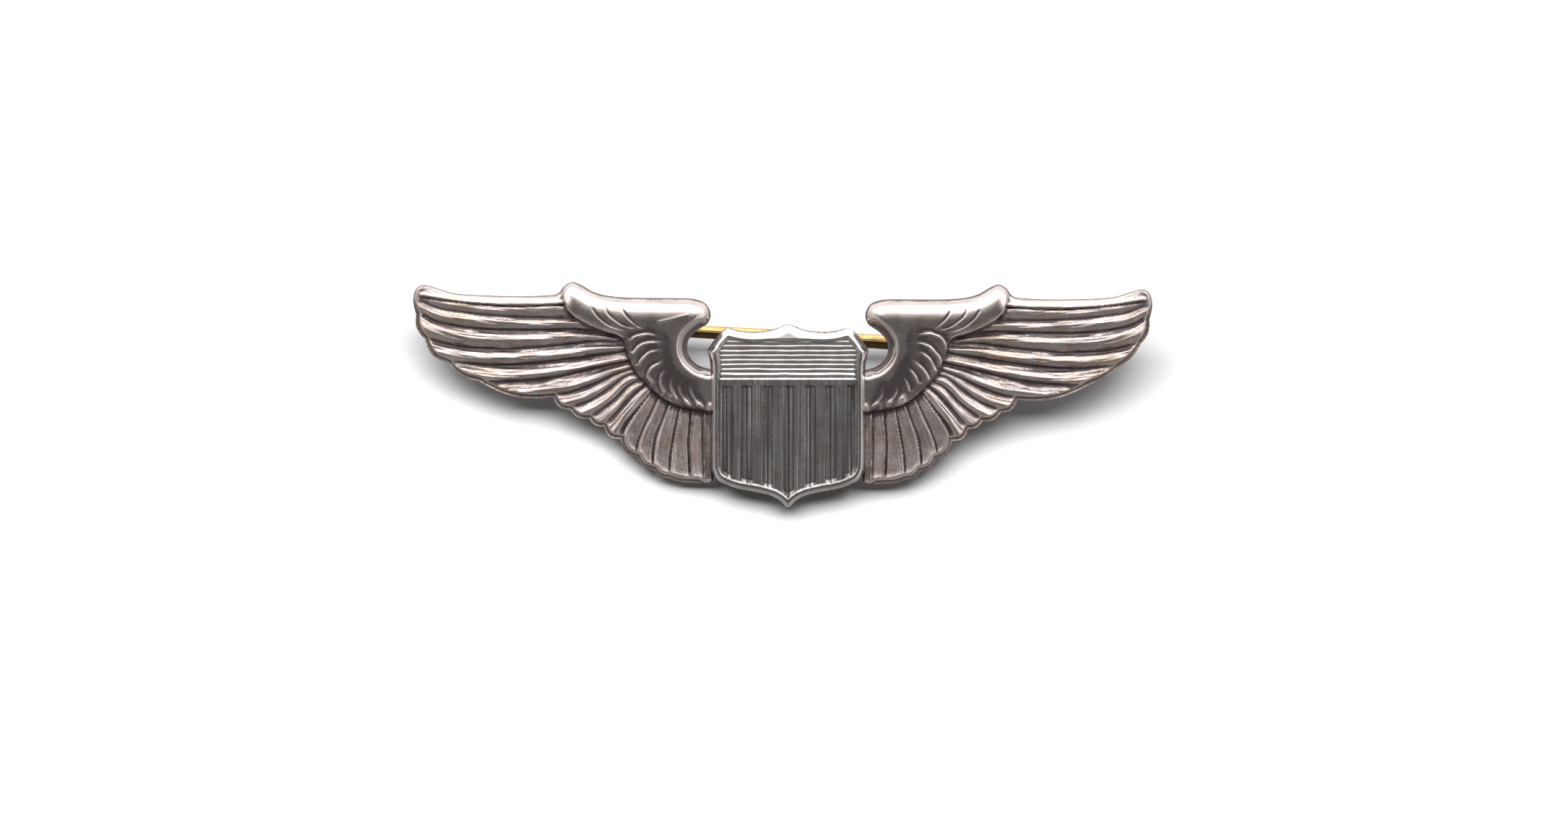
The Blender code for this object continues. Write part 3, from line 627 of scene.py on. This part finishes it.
def cut_out(block, ring):
    """The mesh of a block where it lies inside a ring. The block is used up."""
    tool = upright_prism(ring, CUTTER_FRONT_Y, CUTTER_BACK_Y)
    point_outwards(tool.data)
    cut = block.modifiers.new("outline", "BOOLEAN")
    cut.operation = "INTERSECT"
    cut.solver = "MANIFOLD"
    cut.object = tool
    bpy.context.view_layer.update()
    graph = bpy.context.evaluated_depsgraph_get()
    mesh = bpy.data.meshes.new_from_object(block.evaluated_get(graph))
    bpy.data.objects.remove(block)
    bpy.data.objects.remove(tool)
    return mesh


def relief_piece(name, xs, zs, height, ring, back, values, place):
    """A struck piece: the relief cut to its outline, carried to its place, with the values for its colour and
    painted shade stored.
    """
    block = slab(name, xs, zs, height, back)
    point_outwards(block.data)
    mesh = cut_out(block, ring)
    points = np.empty(len(mesh.vertices) * 3)
    mesh.vertices.foreach_get("co", points)
    points = points.reshape(-1, 3)
    on_back = points[:, 1] > -back - 0.01
    for key, field in values.items():
        stored = mesh.attributes.new(key, "FLOAT", "POINT")
        picked = np.where(on_back, 0.0, sample_grid(field, xs, zs, points[:, 0], points[:, 2]))
        stored.data.foreach_set("value", picked)
    placed = place(points) * MM
    mesh.vertices.foreach_set("co", placed.ravel())
    mesh.update()
    item = bpy.data.objects.new(name, mesh)
    bpy.context.scene.collection.objects.link(item)
    point_outwards(mesh)
    mesh.shade_smooth()
    mesh.set_sharp_from_angle(angle=math.radians(SHARP_EDGE))
    return item


def in_place(points):
    """Leaves points where they are."""
    return points


def to_left(points):
    """Carries wing points to the left wing."""
    return points * np.array((-1.0, 1.0, 1.0))


def to_right(points):
    """Carries wing points to the right wing."""
    out = points[:, 0] - WING_ROOT_X
    x = WING_ROOT_X + RIGHT_SHIFT + out * RIGHT_SPAN_SHARE
    z = points[:, 2] - RIGHT_DROP - RIGHT_DROOP * out
    return np.stack([x, points[:, 1], z], axis=-1)


def from_right(curve):
    """Carries a curve drawn on the right wing back to the wing's own coordinates."""
    points = []
    for x, z in curve:
        out = (x - WING_ROOT_X - RIGHT_SHIFT) / RIGHT_SPAN_SHARE
        points.append((WING_ROOT_X + out, z + RIGHT_DROP + RIGHT_DROOP * out))
    return points


def make_wing(name, crescents, creases, dullness, bulges, place):
    """One wing's relief, carried to its place."""
    ring = wing_outline(bulges)
    xs, zs, height, values = wing_fields(crescents, creases, dullness, ring)
    return relief_piece(name, xs, zs, height, ring, 0.0, values, place)


def shield_ring():
    """The outline of the shield, clockwise from the middle of its top."""
    half = np.array(SHIELD_HALF)
    corners = (0, 5, 8, 21)
    parts = []
    for start, end in zip(corners, corners[1:]):
        parts.append(catmull_rom(half[start:end + 1], 5)[:-1])
    right = np.vstack(parts + [half[-1:]])
    left = right[-2:0:-1] * np.array((-1.0, 1.0))
    return np.vstack([right, left]) + np.array((SHIELD_CENTRE_X, 0.0))


def raise_bars(height, x, z, edge):
    """Adds the bars across the top of the shield to its height. The last one is wider and higher."""
    for number, middle in enumerate(BAR_HEIGHTS):
        wobble = middle + 0.025 * value_noise(x * 0.9, z * 0.0 + number * 3.3, 13)
        plain = number < len(BAR_HEIGHTS) - 1
        half_width = 0.08 if plain else 0.11
        rise = 0.05 + 0.003 * number if plain else 0.11
        inside = ramp(4.8 - np.abs(x - SHIELD_CENTRE_X), 0.0, 0.15) * ramp(edge, 0.66, 0.8)
        height += rise * bump_at(z - wobble, half_width) * inside


def sink_pales(height, dark_lines, x, z, edge):
    """Takes the pales out of the shield's height, each with a reed in it, and paints shade along their
    middles and outlines.
    """
    for centre in PALE_CENTRES:
        offset = np.abs(x - centre)
        beside = np.maximum(offset - PALE_HALF_WIDTH + PALE_CORNER, 0.0)
        above = np.maximum(z - PALE_TOP + PALE_CORNER, 0.0)
        inside = np.minimum(PALE_HALF_WIDTH - offset, PALE_CORNER - np.hypot(beside, above))
        height -= PALE_DEPTH * ramp(inside, 0.0, 0.12) * ramp(edge, 0.62, 0.86)
        reed = bump_at(offset - 0.18, 0.07) * ramp(inside, 0.08, 0.16) * ramp(edge, 0.8, 0.95)
        height += 0.03 * reed
        # Painted shade along the middle and the outline of each pale
        middle_line = bump_at(offset, 0.06) * ramp(inside, 0.1, 0.2)
        dark_lines = np.maximum(dark_lines, 0.7 * middle_line)
        outline_line = bump_at(inside - 0.05, 0.07) * ramp(edge, 0.75, 0.95) * (z < PALE_TOP + 0.3)
        dark_lines = np.maximum(dark_lines, 0.75 * outline_line)
    return dark_lines


def shield_fields():
    """The grid over the shield, its height and the values for its colour and painted shade."""
    xs = np.arange(*SHIELD_GRID_X, SHIELD_GRID_STEP)
    zs = np.arange(*SHIELD_GRID_Z, SHIELD_GRID_STEP)
    x, z = np.meshgrid(xs, zs, indexing="ij")
    ring = shield_ring()
    outline, _ = measure(np.vstack([ring, ring[:1]]), x, z, 20.0)
    edge = np.clip(outline, 0.0, 9.0)
    reeds = 0.6 * value_noise(x * 5.5, z * 0.12, 11) + 0.9 * value_noise(x * 10.0, z * 0.2, 12)
    height = np.full(x.shape, SHIELD_FACE)
    field = ramp(edge, 0.5, 0.62)
    below_bars = ramp(-z, 3.0, 3.4)
    height += 0.03 * reeds * field * below_bars
    brow = -0.27 + 0.024 * (x - SHIELD_CENTRE_X) ** 2
    below_brow = ramp(brow - z, -0.06, 0.1)
    height -= 0.058 * ramp(edge, 0.5, 0.61) * below_brow
    height -= 0.22 * np.maximum(z - brow, 0.0)
    panel = ramp(edge, 0.54, 0.74) * ramp(4.95 - np.abs(x - SHIELD_CENTRE_X), 0.0, 0.3)
    height -= 0.09 * panel * below_brow * ramp(z, -3.0, -2.84)
    raise_bars(height, x, z, edge)

    lower = ramp(-z, 8.8, 9.8)
    border_line = bump_at(edge - 0.54, 0.1) * below_brow * (1 - lower)
    border_band = bump_at(edge - 0.34, 0.14) * lower
    reed_lines = ramp(value_noise(x * 6.5, z * 0.15, 14), 0.1, 0.7) * field * below_bars
    dark_lines = 0.9 * border_line + 1.3 * border_band + 0.4 * reed_lines
    dark_lines = sink_pales(height, dark_lines, x, z, edge)

    height = blurred(height, 0.8)
    bevel = 1.1 + 1.3 * ramp(-z, 0.7, 1.6)
    height = soft_minimum(height, SHIELD_EDGE_HEIGHT + bevel * edge, 0.25)
    hollow = blurred(height, 3.5) - height
    streaks = value_noise(x * 3.1 + 9.0, z * 0.3 + 30.0, 15)
    stain_and_shade = dark_lines + (0.22 + 0.25 * streaks) * field * below_bars
    # Painted shade on the shield's steep border, less towards the right and none round the lower part
    wall_shade = 0.6 * np.clip(1 - edge / 0.28, 0.0, 1.0) * (1 - lower) * (1 - 0.8 * ramp(x, 3.0, 5.0))
    values = {
        "recess_and_shade": np.clip(hollow / 0.08 + stain_and_shade, -1.0, 1.0),
        "wall_shade": wall_shade,
        "along": z,
        "across": x,
        "feather": np.zeros(x.shape),
    }
    return xs, zs, height, values


def make_shield_relief():
    """The shield's relief, in its place."""
    xs, zs, height, values = shield_fields()
    return relief_piece("shield_relief", xs, zs, height, shield_ring(), SHIELD_BACK, values, in_place)


# Materials

def new_material(name):
    """A material with its node tree and its shader."""
    material = bpy.data.materials.new(name)
    material.use_nodes = True
    tree = material.node_tree
    return material, tree, tree.nodes["Principled BSDF"]


def add_node(tree, kind, **settings):
    """A new node with some of its settings."""
    node = tree.nodes.new(kind)
    for key, value in settings.items():
        setattr(node, key, value)
    return node


def attribute(tree, name):
    """A value stored on the mesh."""
    return add_node(tree, "ShaderNodeAttribute", attribute_name=name).outputs["Fac"]


def remap(tree, source, low, high, to_low, to_high):
    """A value carried smoothly from one range to another."""
    node = add_node(tree, "ShaderNodeMapRange", interpolation_type="SMOOTHSTEP")
    tree.links.new(source, node.inputs["Value"])
    node.inputs["From Min"].default_value = low
    node.inputs["From Max"].default_value = high
    node.inputs["To Min"].default_value = to_low
    node.inputs["To Max"].default_value = to_high
    return node.outputs["Result"]


def noise(tree, vector, scale, detail=3.0, roughness=0.5):
    """Cloudy noise from about 0.2 to 0.8."""
    node = add_node(tree, "ShaderNodeTexNoise")
    tree.links.new(vector, node.inputs["Vector"])
    node.inputs["Scale"].default_value = scale
    node.inputs["Detail"].default_value = detail
    node.inputs["Roughness"].default_value = roughness
    return node.outputs["Fac"]


def math_node(tree, operation, a, b):
    """A sum, product or the like of two values, each a number or another node's result."""
    node = add_node(tree, "ShaderNodeMath", operation=operation)
    for socket, value in zip(node.inputs, (a, b)):
        if isinstance(value, (int, float)):
            socket.default_value = value
        else:
            tree.links.new(value, socket)
    return node.outputs[0]


def mix_colour(tree, share, first, second):
    """The first colour going over to the second as the share goes from 0 to 1."""
    node = add_node(tree, "ShaderNodeMix", data_type="RGBA")
    tree.links.new(share, node.inputs[0])
    for socket, value in ((node.inputs[6], first), (node.inputs[7], second)):
        if isinstance(value, tuple):
            socket.default_value = (*value, 1.0)
        else:
            tree.links.new(value, socket)
    return node.outputs[2]


def millimetres(tree):
    """Object coordinates in millimetres."""
    place = add_node(tree, "ShaderNodeTexCoord").outputs["Object"]
    mapping = add_node(tree, "ShaderNodeMapping")
    tree.links.new(place, mapping.inputs["Vector"])
    mapping.inputs["Scale"].default_value = (1 / MM, 1 / MM, 1 / MM)
    return mapping.outputs["Vector"]


def shaded(colour, shares):
    """A colour darkened by a share for each of its parts."""
    return tuple(value * share for value, share in zip(colour, shares))


def add_bump(tree, shader, height, strength, distance):
    """Fine unevenness in a shader's surface, with its distance in millimetres."""
    bump = add_node(tree, "ShaderNodeBump")
    bump.inputs["Strength"].default_value = strength
    bump.inputs["Distance"].default_value = distance * MM
    tree.links.new(height, bump.inputs["Height"])
    tree.links.new(bump.outputs["Normal"], shader.inputs["Normal"])


def feather_strands(tree):
    """Fine streaks that run along the feathers."""
    grain = add_node(tree, "ShaderNodeCombineXYZ")
    tree.links.new(math_node(tree, "MULTIPLY", attribute(tree, "along"), 0.9), grain.inputs[0])
    tree.links.new(math_node(tree, "MULTIPLY", attribute(tree, "across"), 11.0), grain.inputs[1])
    return noise(tree, grain.outputs[0], 1.0, 3.0, 0.6)


def darkness(tree, fine, strands):
    """How much of the dark colour shows: patina that fills the hollows, with a wavering edge, and painted
    shade.
    """
    streaks = remap(tree, strands, 0.35, 0.65, -0.28, 0.28)
    streaks = math_node(tree, "MULTIPLY", streaks, attribute(tree, "feather"))
    speckle = remap(tree, fine, 0.3, 0.7, -0.18, 0.18)
    wavering = math_node(tree, "ADD", attribute(tree, "recess_and_shade"), speckle)
    wavering = math_node(tree, "ADD", wavering, streaks)
    return remap(tree, wavering, 0.05, 0.9, 0.0, 1.0)


def silver_colour(tree, place, polished):
    """The colour of the silver where it isn't tarnished: duller on its walls, which is painted shade, and
    warmer on the feathers.
    """
    cloud = noise(tree, place, 0.9, 4.0)
    worn = remap(tree, cloud, 0.35, 0.7, 0.0, 1.0)
    rubbed = mix_colour(tree, worn, polished, shaded(polished, WORN_SHARE))
    wall_shade = remap(tree, attribute(tree, "wall_shade"), 0.1, 1.0, 0.0, 0.8)
    walled = mix_colour(tree, wall_shade, rubbed, SILVER_WALL_SHADE)
    feathered = remap(tree, attribute(tree, "feather"), 0.0, 1.0, 0.0, 0.2)
    dulled = mix_colour(tree, feathered, walled, SILVER_DULL)
    broad = remap(tree, noise(tree, place, 0.45, 3.0), 0.45, 0.7, 0.0, 0.38)
    warmth = math_node(tree, "MULTIPLY", broad, attribute(tree, "feather"))
    return mix_colour(tree, warmth, dulled, shaded(polished, WARM_SHARE))


def struck_silver(name, polished, tarnish_and_shade):
    """Silver that is bright where it is rubbed and brown-black in its hollows, and darkened the same way by
    painted shade.
    """
    material, tree, shader = new_material(name)
    place = millimetres(tree)
    fine = noise(tree, place, 6.0, 4.0, 0.6)
    strands = feather_strands(tree)
    dark = darkness(tree, fine, strands)
    colour = mix_colour(tree, dark, silver_colour(tree, place, polished), tarnish_and_shade)
    tree.links.new(colour, shader.inputs["Base Color"])
    shader.inputs["Metallic"].default_value = 1.0
    dark_roughness = remap(tree, dark, 0.0, 1.0, 0.17, 0.4)
    fine_roughness = remap(tree, fine, 0.3, 0.7, -0.04, 0.06)
    rough = math_node(tree, "ADD", dark_roughness, fine_roughness)
    tree.links.new(rough, shader.inputs["Roughness"])
    hairs = math_node(tree, "MULTIPLY", strands, attribute(tree, "feather"))
    hairs = math_node(tree, "MULTIPLY", hairs, 2.2)
    scratch = math_node(tree, "MULTIPLY", noise(tree, place, 5.0, 4.0, 0.5), 0.35)
    add_bump(tree, shader, math_node(tree, "ADD", hairs, scratch), 0.3, 0.06)
    return material


def plain_metal(name, colour, worn, roughness, downward_shade=0.0):
    """A metal mottled in colour, with painted shade on the surfaces that face down."""
    material, tree, shader = new_material(name)
    place = millimetres(tree)
    cloud = noise(tree, place, 1.4, 4.0)
    mottled = mix_colour(tree, remap(tree, cloud, 0.35, 0.7, 0.0, 1.0), colour, worn)
    facing = add_node(tree, "ShaderNodeSeparateXYZ")
    tree.links.new(add_node(tree, "ShaderNodeNewGeometry").outputs["Normal"], facing.inputs[0])
    # Painted shade on the surfaces that face down
    under = remap(tree, facing.outputs["Z"], -0.15, 0.3, downward_shade, 0.0)
    shade_colour = tuple(value * DOWNWARD_SHADE_SHARE for value in colour)
    tree.links.new(mix_colour(tree, under, mottled, shade_colour), shader.inputs["Base Color"])
    shader.inputs["Metallic"].default_value = 1.0
    fine = noise(tree, place, 5.0, 4.0)
    rough = remap(tree, fine, 0.3, 0.7, roughness - 0.06, roughness + 0.08)
    tree.links.new(rough, shader.inputs["Roughness"])
    add_bump(tree, shader, fine, 0.2, 0.03)
    return material


def paper():
    """White card that only shows from the front."""
    material, tree, shader = new_material("card")
    shader.inputs["Base Color"].default_value = CARD_WHITE
    shader.inputs["Roughness"].default_value = PAPER_ROUGHNESS
    shader.inputs["Specular IOR Level"].default_value = 0.1
    back = add_node(tree, "ShaderNodeNewGeometry").outputs["Backfacing"]
    clear = add_node(tree, "ShaderNodeBsdfTransparent")
    mix = add_node(tree, "ShaderNodeMixShader")
    tree.links.new(back, mix.inputs[0])
    tree.links.new(shader.outputs[0], mix.inputs[1])
    tree.links.new(clear.outputs[0], mix.inputs[2])
    tree.links.new(mix.outputs[0], tree.nodes["Material Output"].inputs["Surface"])
    return material


# The stage

def rectangle_object(name, corners, material):
    """A flat piece of scenery with four corners, given in millimetres."""
    mesh = bpy.data.meshes.new(name)
    mesh.from_pydata([Vector(corner) * MM for corner in corners], [], [(0, 1, 2, 3)])
    item = bpy.data.objects.new(name, mesh)
    bpy.context.scene.collection.objects.link(item)
    mesh.materials.append(material)
    return item


def make_card():
    """The white card, close behind the lower edge of the wings and leaning back from there."""
    corners = []
    left, right = -CARD_HALF_WIDTH, CARD_HALF_WIDTH
    for x, z in ((left, CARD_BOTTOM), (right, CARD_BOTTOM), (right, CARD_TOP), (left, CARD_TOP)):
        corners.append((x, CARD_GAP + CARD_SLOPE * (z - CARD_EDGE_Z) + CARD_TURN * x, z))
    card = rectangle_object("card", corners, paper())
    card.visible_shadow = False
    card.visible_diffuse = False
    card.visible_glossy = False
    return card


def make_floor():
    """A pale floor far below, which lights nothing and isn't mirrored in the metal."""
    material, _, shader = new_material("floor")
    shader.inputs["Base Color"].default_value = FLOOR_GREY
    shader.inputs["Roughness"].default_value = PAPER_ROUGHNESS
    corners = []
    for x, y in ((-1, -1), (1, -1), (1, 1), (-1, 1)):
        corners.append((x * FLOOR_REACH, y * FLOOR_REACH, FLOOR_Z))
    floor = rectangle_object("floor", corners, material)
    floor.visible_glossy = False
    floor.visible_diffuse = False
    return floor


def room_strength(tree, path):
    """How bright the room is: bright above, dark in front and below, brighter to the right than the left."""
    direction = add_node(tree, "ShaderNodeTexCoord").outputs["Generated"]
    parts = add_node(tree, "ShaderNodeSeparateXYZ")
    tree.links.new(direction, parts.inputs[0])
    sky = remap(tree, parts.outputs["Z"], 0.03, 0.92, 0.0, 1.92)
    ground = remap(tree, parts.outputs["Z"], -0.6, -0.05, 0.24, 0.115)
    sideways = math_node(tree, "ABSOLUTE", parts.outputs["X"], 0.0)
    near_sides = remap(tree, sideways, 0.05, 0.5, 0.0, 0.08)
    far_sides = remap(tree, sideways, 0.4, 0.95, 0.0, 0.3)
    right_side = remap(tree, parts.outputs["X"], 0.4, 0.95, 0.0, 0.35)
    sides = math_node(tree, "ADD", near_sides, math_node(tree, "ADD", far_sides, right_side))
    front = math_node(tree, "ADD", math_node(tree, "ADD", sky, ground), sides)
    behind = remap(tree, parts.outputs["Y"], 0.0, 0.35, 0.0, 1.0)
    beyond = remap(tree, parts.outputs["Z"], -0.3, 0.7, 0.36, 1.08)
    shown = math_node(tree, "MULTIPLY", front, math_node(tree, "SUBTRACT", 1.0, behind))
    strength = math_node(tree, "ADD", shown, math_node(tree, "MULTIPLY", behind, beyond))
    scattered = math_node(tree, "MINIMUM", path.outputs["Diffuse Depth"], 1.0)
    dimming = math_node(tree, "MULTIPLY", scattered, 0.85)
    return math_node(tree, "MULTIPLY", strength, math_node(tree, "SUBTRACT", 1.0, dimming))


def make_world():
    """The room round the badge. Dull surfaces get little of its light, and it is pale where it is seen."""
    world = bpy.data.worlds.new("room")
    bpy.context.scene.world = world
    world.use_nodes = True
    tree = world.node_tree
    surface = tree.nodes["Background"]
    path = add_node(tree, "ShaderNodeLightPath")
    tree.links.new(room_strength(tree, path), surface.inputs["Strength"])
    surface.inputs["Color"].default_value = ROOM_TINT
    pale = add_node(tree, "ShaderNodeBackground")
    pale.inputs["Color"].default_value = ROOM_SEEN
    pale.inputs["Strength"].default_value = ROOM_SEEN_STRENGTH
    mix = add_node(tree, "ShaderNodeMixShader")
    tree.links.new(path.outputs["Is Camera Ray"], mix.inputs[0])
    tree.links.new(surface.outputs[0], mix.inputs[1])
    tree.links.new(pale.outputs[0], mix.inputs[2])
    tree.links.new(mix.outputs[0], tree.nodes["World Output"].inputs["Surface"])


def make_light():
    """A wide soft lamp above and in front, which isn't mirrored in the metal."""
    light = bpy.data.lights.new("window", "AREA")
    light.shape = "RECTANGLE"
    light.size = LAMP_WIDTH
    light.size_y = LAMP_DEPTH
    light.energy = LAMP_POWER
    item = bpy.data.objects.new("window", light)
    bpy.context.scene.collection.objects.link(item)
    item.visible_glossy = False
    item.location = LAMP_PLACE
    item.rotation_euler = (-item.location).to_track_quat("-Z", "Y").to_euler()


def make_camera():
    """A long lens that looks straight at the front."""
    camera = bpy.data.cameras.new("camera")
    camera.lens = LENS
    camera.sensor_width = SENSOR_WIDTH
    item = bpy.data.objects.new("camera", camera)
    bpy.context.scene.collection.objects.link(item)
    distance = VIEW_WIDTH / camera.sensor_width * camera.lens
    middle_x, front_y, middle_z = VIEW_MIDDLE
    item.location = Vector((middle_x, front_y - distance, middle_z)) * MM
    item.rotation_euler = (math.pi / 2, 0.0, 0.0)
    camera.clip_end = CAMERA_REACH
    bpy.context.scene.camera = item


def main():
    """Loads the frame, dresses its nodes, adds the struck pieces and sets the stage."""
    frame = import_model()
    nodes = frame["nodes"]

    silver = struck_silver("struck_silver", SILVER, SILVER_TARNISH_AND_SHADE)
    cool_silver = struck_silver("shield_silver", SHIELD_SILVER, SHIELD_TARNISH_AND_SHADE)
    brass = plain_metal("brass", BRASS, BRASS_WORN, 0.25, downward_shade=0.95)
    plated = plain_metal("plated_findings", PLATE, PLATE_WORN, 0.32)
    solder = plain_metal("solder", SOLDER, SOLDER_WORN, 0.45)
    finishes = {"struck_silver": silver, "brass": brass, "plated_findings": plated, "solder": solder}
    for node in nodes.values():
        for index, material in enumerate(node.data.materials):
            key = material.name.split(".")[0]
            node.data.materials[index] = finishes[key]

    left = make_wing(
        "left_wing_relief", LEFT_CRESCENTS, LEFT_CREASES, LEFT_DULLNESS, LEFT_TIP_BULGES, to_left)
    right_crescents = [from_right(curve) for curve in RIGHT_CRESCENTS]
    right = make_wing(
        "right_wing_relief", right_crescents, [], RIGHT_DULLNESS, RIGHT_TIP_BULGES, to_right)
    shield = make_shield_relief()
    for piece, node in ((left, "left_wing"), (right, "right_wing"), (shield, "shield")):
        piece.data.materials.clear()
        piece.data.materials.append(cool_silver if piece is shield else silver)
        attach(piece, "badge")
        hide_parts(node)

    make_card()
    make_floor()
    make_world()
    make_light()
    make_camera()
    bpy.context.scene.view_settings.view_transform = "Standard"


main()
